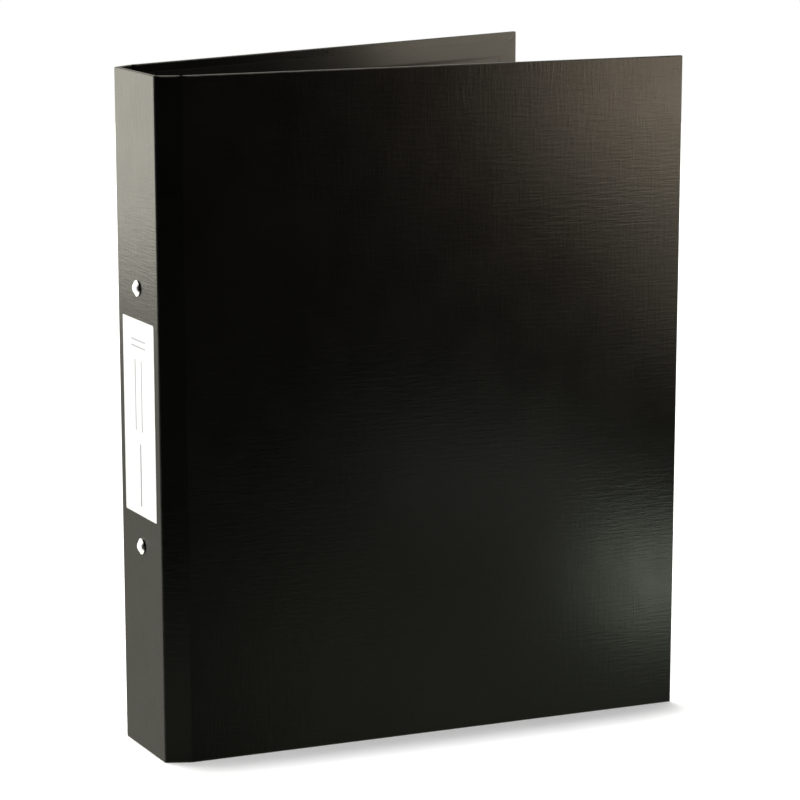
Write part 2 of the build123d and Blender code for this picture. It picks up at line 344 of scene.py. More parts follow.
def wrap_patch(panel, columns):
    """The covering round the edges as a patch, one column of it for each column given."""
    shape = (len(columns), len(RUN))
    place, depth = OUTER_PROFILE[:, 0], OUTER_PROFILE[:, 1]
    skins = []
    for profile in (OUTER_PROFILE, INNER_PROFILE):
        points = np.zeros(shape + (3,))
        for row, (u, z, (du, dz), clearance) in enumerate(columns):
            out = EDGE_ROUND - profile[:, 0]
            at_u, at_z = u + du * out, z + dz * out
            dip = np.zeros(len(RUN))
            if panel.free:
                inner = profile[:, 0] > EDGE_ROUND
                inset = np.maximum(profile[:, 0], EDGE_ROUND)
                if du and dz:
                    at_u = np.where(inner, panel.length - inset, at_u)
                    at_z = np.where(inner, inset if dz < 0 else HEIGHT - inset, at_z)
                elif dz:
                    at_u = np.where(inner, np.minimum(at_u, panel.length - inset - clearance), at_u)
                else:
                    at_z = np.where(inner, np.clip(at_z, inset + clearance, HEIGHT - inset - clearance), at_z)
                if clearance == 0:
                    dip = np.where(inner, MITRE_DIP, 0)
            limit = crease_limit(depth)
            at_u = np.maximum(at_u, limit)
            if not panel.free:
                at_u = np.minimum(at_u, panel.length - limit)
            points[row] = panel.at(at_u, profile[:, 1] - dip, at_z)
        skins.append(points)
    u = np.array([c[0] + c[2][0] * RUN for c in columns])
    z = np.array([c[1] + c[2][1] * RUN for c in columns])
    rubbed = np.zeros(len(RUN))
    rubbed[1:ON_EDGE - 1] = 1.0
    return skins[0], skins[1], panel.uv(u, z), np.broadcast_to(rubbed, shape)


def make_covering(name, panel):
    """The outer paper of one panel, turned in over its board's edges."""
    start = CREASE_HALF
    end = panel.length - (EDGE_ROUND if panel.free else CREASE_HALF)
    mitre = np.array((MITRE_HALF, 2 * MITRE_HALF))
    steps = (*NEAR_EDGE, *mitre)
    face_u = stations(start, end, GRID_STEP, [*(start + NEAR_EDGE), *(end - NEAR_EDGE), *(end - mitre)])
    low, high = EDGE_ROUND, HEIGHT - EDGE_ROUND
    face_z = stations(low, high, GRID_STEP, [low + step for step in steps] + [high - step for step in steps])
    u, z = grid(face_u, face_z)
    depth = unevenness(panel, u, z)
    patches = [(panel.at(u, depth, z), panel.at(u, depth + PAPER, z), panel.uv(u, z), np.zeros(u.shape))]
    for columns in paper_columns(panel, face_u, face_z):
        patches.append(wrap_patch(panel, columns))
    return closed_sheet(name, patches)


# ------------------------------------------------------------------------------------------ lining

SINK_STEPS = np.array((-1.2, -0.7, -0.2, 0.3, 0.8, 1.3)) * MM    # grid lines about the turned-in edge
SINK_START = 1.2 * MM
SINK_RUN = 2.5 * MM
LINING_RIM = 0.3 * MM
LINING_WEAR = 0.6
LINING_WAVE = 0.35             # its share of the board's unevenness


def make_lining(name, panel):
    """The inner sheet of one panel. It sinks where the turned-in paper under it ends."""
    start = GAP_INSIDE
    end = panel.length - (LINING_MARGIN if panel.free else GAP_INSIDE)
    at_u = [panel.length - TURN_IN - step for step in SINK_STEPS] if panel.free else []
    at_z = [TURN_IN + step for step in SINK_STEPS] + [HEIGHT - TURN_IN - step for step in SINK_STEPS]
    low, high = LINING_MARGIN, HEIGHT - LINING_MARGIN
    at_u += [start + LINING_RIM, end - LINING_RIM]
    at_z += [low + LINING_RIM, high - LINING_RIM]
    u, z = grid(stations(start, end, GRID_STEP, at_u), stations(low, high, GRID_STEP, at_z))
    inside = np.minimum(z, HEIGHT - z)
    if panel.free:
        inside = np.minimum(inside, panel.length - u)
    sunk = smooth((inside - TURN_IN + SINK_START) / SINK_RUN)
    top = THICKNESS - PAPER * sunk - LINING_WAVE * unevenness(panel, u, z)
    wear = np.zeros(u.shape)
    wear[[0, -1], :] = wear[:, [0, -1]] = LINING_WEAR
    return closed_sheet(name, [(panel.at(u, top, z), panel.at(u, top - PAPER, z), panel.uv(u, z), wear)])


# ----------------------------------------------------------------------------------------- creases

class Crease:
    """The fold between two panels: a and b run away from it, each along its own panel."""

    def __init__(self, first, second):
        at_start = np.allclose(first.crease, second.crease)
        self.point = second.crease
        self.a = first.along if at_start else -first.along
        self.out_a = -first.inward
        self.b = second.along
        self.out_b = -second.inward
        self.half_fold = acos(min(1.0, float(self.out_a @ self.out_b))) / 2
        self.middle = unit(self.out_a + self.out_b)
        self.across = unit(self.b - self.a)
        self.second = second

    def side_a(self, s, depth):
        return self.point + self.a * s + self.out_a * (PIVOT_DEPTH - depth)

    def side_b(self, s, depth):
        return self.point + self.b * s + self.out_b * (PIVOT_DEPTH - depth)

    def uv(self, run, z):
        return self.second.uv(run, z)


def runs(points):
    """Distance along a line of points, from its middle."""
    run = np.concatenate([[0], np.cumsum(np.linalg.norm(np.diff(points, axis=0), axis=1))])
    return run - run[-1] / 2


def extruded_sheet(name, crease, outer, inner, rows, wear):
    """A strip along a crease from the section of its two skins. A row is (z, drop of the outer skin)."""
    run = runs(outer)
    inwards = np.array([unit(low - high) for high, low in zip(outer, inner)])
    outside, inside, uvs = [], [], []
    for z, drop in rows:
        height = np.full((len(run), 1), z)
        outside.append(np.hstack([outer + inwards * drop, height]))
        inside.append(np.hstack([inner, height]))
        uvs.append(crease.uv(run, z))
    wear = np.broadcast_to(wear, (len(rows), len(run)))
    return closed_sheet(name, [(np.array(outside), np.array(inside), np.array(uvs), wear)])


def make_crease_paper(name, crease, radius, rubbed):
    """The strip of outer paper across a crease."""
    start = (radius - PIVOT_DEPTH) * tan(crease.half_fold)
    centre = crease.point + crease.middle * (PIVOT_DEPTH - radius) / cos(crease.half_fold)
    skins = []
    for inset in (0, PAPER):
        flat = np.linspace(CREASE_HALF, start, 7)
        points = [crease.side_a(s, inset) for s in flat]
        for share in np.linspace(0, 1, 11)[1:-1]:
            normal = unit(
                crease.out_a * sin((1 - share) * 2 * crease.half_fold)
                + crease.out_b * sin(share * 2 * crease.half_fold)
            )
            points.append(centre + normal * (radius - inset))
        points += [crease.side_b(s, inset) for s in reversed(flat)]
        skins.append(np.array(points))
    rows = [(z, 0.0) for z in stations(EDGE_ROUND, HEIGHT - EDGE_ROUND, GRID_STEP)]
    for angle in np.linspace(0, pi / 4, 5)[1:]:
        drop, rise = EDGE_ROUND * (1 - cos(angle)), EDGE_ROUND * sin(angle)
        rows.append((HEIGHT - EDGE_ROUND + rise, drop))
        rows.insert(0, (EDGE_ROUND - rise, drop))
    wear = rubbed * smooth(1 - np.abs(runs(skins[0])) / BEND_HALF)
    return extruded_sheet(name, crease, *skins, rows, wear)


def make_crease_lining(name, crease):
    """The inner sheet where it goes down the bevels of two boards and across the floor of their groove."""
    skins = []
    for inset in (GROOVE_LINING, 0):
        floor = GROOVE_FLOOR - GROOVE_LINING + inset
        depths = np.linspace(TURNED_DEPTH, floor, 6)
        middle = (floor - PIVOT_DEPTH) * tan(crease.half_fold)
        bottom = np.linspace(groove(floor) - inset, middle, 5)[1:]
        section = [(groove(depth) - inset, depth) for depth in depths] + [(s, floor) for s in bottom]
        points = [crease.side_a(*place) for place in section]
        points += [crease.side_b(*place) for place in reversed(section[:-1])]
        skins.append(np.array(points))
    rows = [(z, 0.0) for z in stations(PAPER, HEIGHT - PAPER, GRID_STEP)]
    return extruded_sheet(name, crease, *skins, rows, 0.0)


def bend(piece, first_body, second_body):
    """Bake a crease's strip's place into its mesh, where it stands."""
    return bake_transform(piece)


# ------------------------------------------------------------------------------- label and fittings

LABEL_LOW, LABEL_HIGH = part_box("spine_label")
LABEL_CORNER = 0.8 * MM
LABEL_EDGE = 0.05 * MM
LABEL_RIM = 0.8 * MM


def make_label(name):
    """A thin label with small round corners and a soft edge."""
    centre_y, centre_z = (LABEL_LOW.y + LABEL_HIGH.y) / 2, (LABEL_LOW.z + LABEL_HIGH.z) / 2
    half_y, half_z = (LABEL_HIGH.y - LABEL_LOW.y) / 2, (LABEL_HIGH.z - LABEL_LOW.z) / 2
    outline = []
    for sign_y, sign_z, turn in ((1, 1, 0), (-1, 1, 1), (-1, -1, 2), (1, -1, 3)):
        for angle in np.linspace(0, pi / 2, 7):
            angle = angle + turn * pi / 2
            outline.append((
                sign_y * (half_y - LABEL_CORNER) + LABEL_CORNER * cos(angle),
                sign_z * (half_z - LABEL_CORNER) + LABEL_CORNER * sin(angle),
            ))
    outline = np.array(outline)
    shrunk = outline * (1 - LABEL_EDGE / np.array((half_y, half_z)))
    inner = outline * (1 - LABEL_RIM / np.array((half_y, half_z)))
    top, back = LABEL_LOW.x, LABEL_HIGH.x
    rings = [(outline, back), (outline, top + LABEL_EDGE), (shrunk, top), (inner, top)]
    vertices, faces, uvs = [], [], []
    for ring, x in rings:
        vertices += [(x, centre_y + y, centre_z + z) for y, z in ring]
    count = len(outline)
    for level in range(len(rings) - 1):
        for step in range(count):
            after = (step + 1) % count
            faces.append([level * count + step, level * count + after,
                          (level + 1) * count + after, (level + 1) * count + step])
    faces.append(list(range(count)))
    faces.append([(len(rings) - 1) * count + step for step in range(count)])
    for face in faces:
        for corner in face:
            _, y, z = vertices[corner]
            uvs.append(((y - centre_y) / MM, (z - centre_z) / MM))
    return finish_mesh(name, vertices, faces, uvs)


def loft(loops, segments):
    """The faces between loops of vertices, one after the other. A loop of one vertex is a tip."""
    faces = []
    for one, other in zip(loops, loops[1:]):
        for step in range(segments):
            after = (step + 1) % segments
            corners = [one[step % len(one)], one[after % len(one)],
                       other[after % len(other)], other[step % len(other)]]
            faces.append(list(dict.fromkeys(corners)))
    return faces


def revolved(name, profile, centre_y, centre_z, segments=96):
    """A turned part about an axis along X. The profile is (x, radius), from its outside end to its last."""
    vertices, rings = [], []
    for x, radius in profile:
        if radius == 0:
            rings.append([len(vertices)])
            vertices.append((x, centre_y, centre_z))
            continue
        rings.append(list(range(len(vertices), len(vertices) + segments)))
        for step in range(segments):
            angle = 2 * pi * step / segments
            vertices.append((x, centre_y + radius * cos(angle), centre_z + radius * sin(angle)))
    return finish_mesh(name, vertices, loft(rings, segments), sharp_angle=radians(35))


def arc(centre_x, centre_r, radius, start, end, steps=6):
    """Profile points on an arc, angles in degrees from the +X axis towards larger radius."""
    return [
        (centre_x + radius * cos(radians(angle)), centre_r + radius * sin(radians(angle)))
        for angle in np.linspace(start, end, steps)
    ]


RIVET_RIM = 0.35 * MM          # radius of the rolled rim
RIVET_SHANK = 2.0 * MM
RIVET_BORE = 1.3 * MM
RIVET_BORE_END = 0.5 * MM      # behind the head
RIVET_CHAMFER = 0.3 * MM
CLENCH_RADIUS = 3.1 * MM
CLENCH_ROLL = 0.33 * MM
DOME_STEPS = 14


def make_rivet(name, node):
    """A tubular rivet: a low domed head with a rolled rim outside, and its clenched end in the housing."""
    low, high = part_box(node)
    head = (high.y - low.y) / 2
    dome = OUTER_X - low.x
    profile = []
    for share in np.linspace(0, 1, DOME_STEPS):
        radius = share * (head - 0.6 * RIVET_RIM)
        profile.append((low.x + (dome - 1.25 * RIVET_RIM) * share ** 2, radius))
    profile += arc(OUTER_X - RIVET_RIM, head - RIVET_RIM, RIVET_RIM, 135, 0, 8)
    roll_x = high.x - CLENCH_ROLL
    profile += [(OUTER_X, RIVET_SHANK), (high.x - 2 * CLENCH_ROLL, RIVET_SHANK)]
    profile += arc(roll_x, CLENCH_RADIUS - CLENCH_ROLL, CLENCH_ROLL, 180, 0, 9)[1:]
    profile += arc(roll_x, RIVET_BORE + CLENCH_ROLL, CLENCH_ROLL, 0, -90, 6)
    bore_end = OUTER_X + RIVET_BORE_END
    profile += [(bore_end + RIVET_CHAMFER, RIVET_BORE), (bore_end, RIVET_BORE - RIVET_CHAMFER), (bore_end, 0)]
    return revolved(name, profile, (low.y + high.y) / 2, (low.z + high.z) / 2)


WIRE = 1.4 * MM                # radius of the ring wire
STUB_SIDE = 5.0 * MM           # where it stands on the blade
STUB_FOOT = 0.4 * MM
STUB_TOP = 2.6 * MM
STUB_BEND = 2.2 * MM
STUB_TURN = radians(60)
RING_RADIUS = 13.9 * MM
RING_GAP = 0.15 * MM
TIP_CHAMFER = 0.06 * MM
FOOT_CHAMFER = 0.2 * MM
PIN = 0.5 * MM
PIN_LENGTH = 0.9 * MM
PIN_CHAMFER = 0.17 * MM
SOCKET = 0.85 * MM
SOCKET_DEPTH = 1.3 * MM
WIRE_SEGMENTS = 36


def ring_line(side):
    """The wire's middle line from its foot to its tip, as (point, heading) in the plane of the ring."""
    heading = 0.0
    point = np.array((INNER_X + STUB_FOOT, side * STUB_SIDE))
    line = [(point, heading)]

    def forward(length, steps=1):
        nonlocal point
        for _ in range(steps):
            point = point + length / steps * np.array((cos(heading), sin(heading)))
            line.append((point, heading))

    def turn(radius, angle, steps):
        nonlocal point, heading
        centre = point + radius * np.sign(angle) * np.array((-sin(heading), cos(heading)))
        for _ in range(steps):
            step = angle / steps
            spoke = point - centre
            point = centre + np.array((
                spoke[0] * cos(step) - spoke[1] * sin(step), spoke[0] * sin(step) + spoke[1] * cos(step)
            ))
            heading += step
            line.append((point, heading))

    forward(STUB_TOP - STUB_FOOT)
    turn(STUB_BEND, side * STUB_TURN, 10)
    run = (RING_RADIUS * cos(STUB_TURN) - STUB_SIDE - STUB_BEND * (1 - cos(STUB_TURN))) / sin(STUB_TURN)
    forward(run)
    turn(RING_RADIUS, -side * (pi / 2 + STUB_TURN - RING_GAP / RING_RADIUS), 56)
    return line


def make_ring_half(name, node, side):
    """Half a ring of round wire, with the pin or the socket that closes it."""
    low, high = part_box(node)
    centre_z = (low.z + high.z) / 2
    line = ring_line(side)
    foot, tip = line[0], line[-1]
    rings = [(foot, 0.0, 0.0), (foot, 0.0, WIRE - FOOT_CHAMFER), (foot, FOOT_CHAMFER, WIRE)]
    rings += [(place, 0.0, WIRE) for place in line[1:-1]]
    rings += [(tip, -FOOT_CHAMFER, WIRE), (tip, -TIP_CHAMFER, WIRE - TIP_CHAMFER),
              (tip, 0.0, WIRE - FOOT_CHAMFER)]
    if side < 0:
        rings += [(tip, 0.0, PIN), (tip, PIN_LENGTH - PIN_CHAMFER, PIN),
                  (tip, PIN_LENGTH, PIN - PIN_CHAMFER), (tip, PIN_LENGTH, 0.0)]
    else:
        rings += [(tip, 0.0, SOCKET), (tip, -SOCKET_DEPTH, SOCKET), (tip, -SOCKET_DEPTH, 0.0)]
    vertices, loops = [], []
    for (point, heading), ahead, radius in rings:
        along = np.array((cos(heading), sin(heading)))
        across = np.array((-sin(heading), cos(heading)))
        if radius == 0:
            loops.append([len(vertices)])
            vertices.append((*(point + along * ahead), centre_z))
            continue
        loops.append(list(range(len(vertices), len(vertices) + WIRE_SEGMENTS)))
        for step in range(WIRE_SEGMENTS):
            angle = 2 * pi * step / WIRE_SEGMENTS
            flat = point + along * ahead + across * radius * cos(angle)
            vertices.append((*flat, centre_z + radius * sin(angle)))
    return finish_mesh(name, vertices, loft(loops, WIRE_SEGMENTS), sharp_angle=radians(50))


# --------------------------------------------------------------------------------------- materials

def new_material(name, **sockets):
    """A material and its shader, with constant sockets set by name."""
    material = bpy.data.materials.new(name)
    material.use_nodes = True
    shader = material.node_tree.nodes["Principled BSDF"]
    for socket, value in sockets.items():
        shader.inputs[socket.replace("_", " ")].default_value = value
    return material, material.node_tree, shader


def node(tree, kind, inputs=None, **settings):
    """Add a shader node. Its inputs are values, or other nodes' outputs, by socket name or number."""
    made = tree.nodes.new("ShaderNode" + kind)
    for setting, value in settings.items():
        setattr(made, setting, value)
    for socket, value in (inputs or {}).items():
        if isinstance(value, bpy.types.NodeSocket):
            tree.links.new(value, made.inputs[socket])
        else:
            made.inputs[socket].default_value = value
    return made


def math(tree, operation, *values):
    return node(tree, "Math", dict(enumerate(values)), operation=operation).outputs[0]


def ramp(tree, value, low, high, to_low=0.0, to_high=1.0):
    """value from low..high to to_low..to_high, smoothly."""
    inputs = {"Value": value, "From Min": low, "From Max": high, "To Min": to_low, "To Max": to_high}
    return node(tree, "MapRange", inputs, interpolation_type="SMOOTHSTEP").outputs["Result"]


def noise(tree, vector, stretch, detail=3.0, roughness=0.5):
    """Noise on millimetres, drawn out to a grain of so many millimetres each way. Two ways give 2D noise."""
    shrink = tuple(1 / grain for grain in stretch) + (1,) * (3 - len(stretch))
    scaled = node(tree, "VectorMath", {0: vector, 1: shrink}, operation="MULTIPLY")
    inputs = {"Vector": scaled.outputs[0], "Scale": 1.0, "Detail": detail, "Roughness": roughness}
    return node(tree, "TexNoise", inputs, noise_dimensions=f"{len(stretch)}D").outputs["Fac"]


MIX_FACTOR, MIX_A, MIX_B, MIX_RESULT = 0, 6, 7, 2    # a Mix node's sockets for colours


def colour_mix(tree, share, one, other):
    """From one colour to the other. Each is a value or another node's output."""
    inputs = {MIX_FACTOR: share, MIX_A: one, MIX_B: other}
    return node(tree, "Mix", inputs, data_type="RGBA").outputs[MIX_RESULT]


def blotches(tree, value, low, high, one, other):
    """Two colours in soft patches, where a noise goes from low to high."""
    return colour_mix(tree, ramp(tree, value, low, high), (*one, 1), (*other, 1))


def add_bump(tree, shader, height, strength, distance):
    bump = node(tree, "Bump", {"Height": height, "Strength": strength, "Distance": distance})
    tree.links.new(bump.outputs[0], shader.inputs["Normal"])


def weighted(tree, *terms):
    """The sum of (value, weight) pairs."""
    total = None
    for value, weight in terms:
        term = math(tree, "MULTIPLY", value, weight)
        total = term if total is None else math(tree, "ADD", total, term)
    return total


def linen_material():
    """Black covering paper embossed like linen: slubby threads with a painted highlight on their tops, a
    little sheen, rubbed edges.
    """
    material, tree, shader = new_material("black_linen_paper", IOR=1.5)
    uv = node(tree, "UVMap", uv_map="Paper").outputs["UV"]
    wear = node(tree, "Attribute", attribute_name="wear").outputs["Fac"]
    along = noise(tree, uv, (10, 0.75), 3.0, 0.6)
    upright = noise(tree, uv, (0.75, 10), 3.0, 0.6)
    slub_along = noise(tree, uv, (15, 1.5), 2.0, 0.55)
    slub_upright = noise(tree, uv, (1.5, 18), 2.0, 0.55)
    threads = weighted(tree, (ramp(tree, along, 0.3, 0.7), 0.8), (ramp(tree, upright, 0.3, 0.7), 0.5))
    slubs = weighted(
        tree, (ramp(tree, slub_along, 0.35, 0.7), 1.0), (ramp(tree, slub_upright, 0.45, 0.75), 0.6)
    )
    height = math(tree, "ADD", threads, slubs)
    broad = noise(tree, uv, (55, 70), 2.0, 0.5)
    smudge = noise(tree, uv, (18, 26), 3.0, 0.6)
    add_bump(tree, shader, height, 1.0, 0.019 * MM)
    base = blotches(tree, broad, 0.3, 0.7, (0.0006, 0.0006, 0.0005), (0.0011, 0.0010, 0.0009))
    # Painted highlight: the raised threads get a lighter colour where the bump is high, in place of the light
    # they would catch.
    thread_highlight = math(tree, "MULTIPLY", ramp(tree, height, 0.8, 2.4), 0.5)
    lit = colour_mix(tree, thread_highlight, base, (0.0022, 0.0020, 0.0017, 1))
    patchy = ramp(tree, noise(tree, uv, (7.0, 7.0), 4.0, 0.7), 0.3, 0.8, 0.2, 0.45)
    fray = math(tree, "MULTIPLY", wear, patchy)
    worn = colour_mix(tree, fray, lit, (0.15, 0.143, 0.13, 1))
    tree.links.new(worn, shader.inputs["Base Color"])
    gloss = math(tree, "ADD", ramp(tree, smudge, 0.3, 0.7, 0.300, 0.330), math(tree, "MULTIPLY", fray, 0.25))
    tree.links.new(gloss, shader.inputs["Roughness"])
    return material


def lining_material():
    """Smooth black lining paper: a faint fibre grain and a satin surface."""
    material, tree, shader = new_material("black_lining_paper", IOR=1.48)
    uv = node(tree, "UVMap", uv_map="Paper").outputs["UV"]
    wear = node(tree, "Attribute", attribute_name="wear").outputs["Fac"]
    fibre = noise(tree, uv, (0.5, 1.1), 4.0, 0.65)
    cloud = noise(tree, uv, (38, 30), 3.0, 0.55)
    base = blotches(tree, cloud, 0.3, 0.7, (0.0035, 0.0032, 0.0028), (0.0060, 0.0055, 0.0048))
    flecked = colour_mix(tree, ramp(tree, fibre, 0.62, 0.8, 0.0, 0.35), base, (0.016, 0.015, 0.013, 1))
    edge = colour_mix(tree, math(tree, "MULTIPLY", wear, 0.5), flecked, (0.07, 0.066, 0.06, 1))
    tree.links.new(edge, shader.inputs["Base Color"])
    tree.links.new(ramp(tree, cloud, 0.25, 0.75, 0.30, 0.35), shader.inputs["Roughness"])
    add_bump(tree, shader, fibre, 0.6, 0.02 * MM)
    return material


def object_mm(tree):
    """Object coordinates in millimetres."""
    metres = node(tree, "TexCoord").outputs["Object"]
    scaled = node(tree, "VectorMath", {0: metres, 1: (1 / MM, 1 / MM, 1 / MM)}, operation="MULTIPLY")
    return scaled.outputs[0]


def board_material():
    """Grey board of recycled fibre."""
    material, tree, shader = new_material("grey_board", Roughness=0.9)
    point = object_mm(tree)
    fibre = noise(tree, point, (0.35, 1.4, 1.4), 5.0, 0.7)
    speck = noise(tree, point, (0.8, 0.8, 0.8), 2.0, 0.55)
    base = blotches(tree, fibre, 0.3, 0.7, (0.27, 0.25, 0.22), (0.40, 0.37, 0.33))
    flecked = colour_mix(tree, ramp(tree, speck, 0.62, 0.72, 0, 0.6), base, (0.12, 0.11, 0.10, 1))
    tree.links.new(flecked, shader.inputs["Base Color"])
    add_bump(tree, shader, fibre, 0.7, 0.06 * MM)
    return material


def metal_material(name, dark, bright, scratch, rough_low, rough_high):
    """Nickel plate with hairline scratches drawn out along its length, and a slightly clouded lustre."""
    material, tree, shader = new_material(name, Metallic=1.0, IOR=2.0)
    point = object_mm(tree)
    hairline = noise(tree, point, scratch, 4.0, 0.7)
    cloud = noise(tree, point, (5, 5, 5), 3.0, 0.55)
    tree.links.new(blotches(tree, cloud, 0.3, 0.7, dark, bright), shader.inputs["Base Color"])
    gloss = math(tree, "ADD", ramp(tree, cloud, 0.3, 0.7, rough_low, rough_high),
                 ramp(tree, hairline, 0.55, 0.75, 0.0, 0.10))
    tree.links.new(gloss, shader.inputs["Roughness"])
    add_bump(tree, shader, hairline, 0.3, 0.004 * MM)
    return material


# Rules printed on the label, in millimetres from its middle: (place, half width, low, high, strength)
UPRIGHT_RULES = ((-0.7, 0.5, -41.0, -12.0, 1.0), (-3.0, 0.45, -6.0, 27.0, 0.8), (4.0, 0.45, -6.0, 27.0, 0.8))
LEVEL_RULES = ((36.0, 0.4, -8.0, 8.0, 0.6), (33.0, 0.4, -8.0, 8.0, 0.6))


def label_material():
    """White coated label paper with a few fine printed rules."""
    material, tree, shader = new_material("white_label", Roughness=0.38, IOR=1.5)
    uv = node(tree, "UVMap", uv_map="Paper").outputs["UV"]
    split = node(tree, "SeparateXYZ", {0: uv})
    y, z = split.outputs[0], split.outputs[1]
    ink = 0.0
    for across, along, rules in ((y, z, UPRIGHT_RULES), (z, y, LEVEL_RULES)):
        for place, half, low, high, strength in rules:
            on = math(tree, "COMPARE", across, place, half)
            within = math(tree, "COMPARE", along, (low + high) / 2, (high - low) / 2)
            rule = math(tree, "MULTIPLY", math(tree, "MULTIPLY", on, within), strength)
            ink = math(tree, "MAXIMUM", ink, rule)
    cloud = noise(tree, uv, (14, 18), 3.0, 0.5)
    grain = noise(tree, uv, (0.4, 0.4), 3.0, 0.7)
    paper = blotches(tree, cloud, 0.3, 0.7, (0.67, 0.67, 0.66), (0.71, 0.71, 0.70))
    printed = colour_mix(tree, ink, paper, (0.14, 0.14, 0.20, 1))
    tree.links.new(printed, shader.inputs["Base Color"])
    add_bump(tree, shader, grain, 0.4, 0.01 * MM)
    return material


LINEN = linen_material()
LINING = lining_material()
GREY = board_material()
LABEL = label_material()
SHEET_METAL = metal_material(
    "nickel_plated_sheet", (0.60, 0.59, 0.56), (0.68, 0.67, 0.64), (0.25, 0.25, 9.0), 0.20, 0.30
)
WIRE_METAL = metal_material(
    "nickel_plated_wire", (0.64, 0.63, 0.60), (0.72, 0.71, 0.68), (2.5, 2.5, 0.2), 0.12, 0.20
)
RIVET_METAL = metal_material(
    "nickel_plated_rivet", (0.74, 0.73, 0.71), (0.80, 0.79, 0.77), (1.0, 0.3, 1.6), 0.14, 0.24
)


def dress(piece, material):
    """Give a piece one material on every slot."""
    piece.data.materials.clear()
    piece.data.materials.append(material)
    return piece


def put(piece, material, slot, body, *nodes):
    """Give a new piece its material and body, and hide the CAD nodes that it stands for. Its slot is not
    used.
    """
    dress(piece, material)
    if body:
        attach(piece, body)
    if nodes:
        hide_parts(*nodes)
    return piece


# ------------------------------------------------------------------------------------- the binder

PANELS = [("spine", spine, "spine_cover_paper", "spine_lining")]
for name in ("front", "back"):
    PANELS.append((f"{name}_hinge", strips[name], f"{name}_hinge_paper", f"{name}_hinge_lining"))
    PANELS.append((f"{name}_cover", covers[name], f"{name}_cover_paper", f"{name}_lining"))
for name, panel, paper_node, lining_node in PANELS:
    put(make_covering(f"{name}_linen", panel), LINEN, "outer_paper", panel.body, paper_node)
    put(make_lining(f"{name}_inner_sheet", panel), LINING, "lining_paper", panel.body, lining_node)

for name in ("front", "back"):
    folds = (
        ("spine_crease", spine, strips[name], SPINE_CREASE_ROUND, SPINE_CREASE_WEAR),
        ("board_crease", strips[name], covers[name], BOARD_CREASE_ROUND, BOARD_CREASE_WEAR),
    )
    for kind, first, second, radius, rubbed in folds:
        crease = Crease(first, second)
        linen = make_crease_paper(f"{name}_{kind}_linen", crease, radius, rubbed)
        put(linen, LINEN, "outer_paper", None, f"{name}_{kind}")
        bend(linen, first.body, second.body)
        sheet = make_crease_lining(f"{name}_{kind}_inner_sheet", crease)
        put(sheet, LINING, "lining_paper", None)
        bend(sheet, first.body, second.body)

put(make_label("label_sheet"), LABEL, "label", "spine", "spine_label")
for height in ("lower", "upper"):
    rivet = f"{height}_rivet"
    put(make_rivet(f"{rivet}_turned", rivet), RIVET_METAL, "rivet", "spine", rivet)
    for name, side in (("front", -1), ("back", 1)):
        cad = f"{height}_{name}_ring_half"
        carrier = f"{name}_ring_carrier"
        put(make_ring_half(f"{cad}_wire", cad, side), WIRE_METAL, "plated_wire", carrier, cad)

for name in ("spine_board", "front_hinge_board", "back_hinge_board", "front_board", "back_board"):
    dress(frame["nodes"][name], GREY)
for name in ("ring_housing", "front_blade", "back_blade"):
    dress(frame["nodes"][name], SHEET_METAL)

# ----------------------------------------------------------------------------- camera, stage, lights

CAMERA_PLACE = Vector((-0.5220, -1.2379, 0.4536))
CAMERA_AZIMUTH = radians(-27.86)
CAMERA_ELEVATION = radians(12.13)
SENSOR_MM = 36.0
LENS_MM = 135.8
camera_data = bpy.data.cameras.new("camera")
camera_data.sensor_width = SENSOR_MM
camera_data.lens = LENS_MM
camera = bpy.data.objects.new("camera", camera_data)
camera.location = CAMERA_PLACE
looking = Vector((
    -sin(CAMERA_AZIMUTH) * cos(CAMERA_ELEVATION), cos(CAMERA_AZIMUTH) * cos(CAMERA_ELEVATION),
    -sin(CAMERA_ELEVATION),
))
camera.rotation_euler = looking.to_track_quat("-Z", "Y").to_euler()
bpy.context.scene.collection.objects.link(camera)
bpy.context.scene.camera = camera

FLOOR_RADIUS = 2.4
FLOOR_CENTRE_X = 0.1
BACKDROP_RADIUS = 6.0
FLOOR_DROP = 0.02 * MM


def stage_object(name, work):
    """An object of the stage from a bmesh."""
    mesh = bpy.data.meshes.new(name)
    work.to_mesh(mesh)
    work.free()
    made = bpy.data.objects.new(name, mesh)
    bpy.context.scene.collection.objects.link(made)
    return made


def make_floor():
    """A plain pale studio floor. The gloss of the paper shows the studio and not the floor."""
    work = bmesh.new()
    bmesh.ops.create_circle(work, cap_ends=True, segments=96, radius=FLOOR_RADIUS)
    bmesh.ops.translate(work, verts=work.verts, vec=(FLOOR_CENTRE_X, 0, -FLOOR_DROP))
    floor = stage_object("floor", work)
    material, tree, shader = new_material("pale_floor", Roughness=0.9)
    shader.inputs["Specular IOR Level"].default_value = 0.1
    grain = noise(tree, object_mm(tree), (60, 60, 60), 3.0, 0.55)
    tree.links.new(
        colour_mix(tree, grain, (0.86, 0.86, 0.86, 1), (0.88, 0.88, 0.88, 1)), shader.inputs["Base Color"]
    )
    floor.data.materials.append(material)
    floor.visible_glossy = False
    floor.visible_shadow = False


def make_backdrop():
    """A plain white dome behind everything, which only the camera sees."""
    work = bmesh.new()
    bmesh.ops.create_uvsphere(work, u_segments=48, v_segments=24, radius=BACKDROP_RADIUS)
    dome = stage_object("backdrop", work)
    material = bpy.data.materials.new("white_backdrop")
    material.use_nodes = True
    tree = material.node_tree
    tree.nodes.remove(tree.nodes["Principled BSDF"])
    glow = node(tree, "Emission", {"Color": (1, 1, 1, 1), "Strength": 1.0})
    tree.links.new(glow.outputs[0], tree.nodes["Material Output"].inputs["Surface"])
    dome.data.materials.append(material)
    for ray in ("diffuse", "glossy", "transmission", "volume_scatter", "shadow"):
        setattr(dome, f"visible_{ray}", False)


make_floor()
make_backdrop()


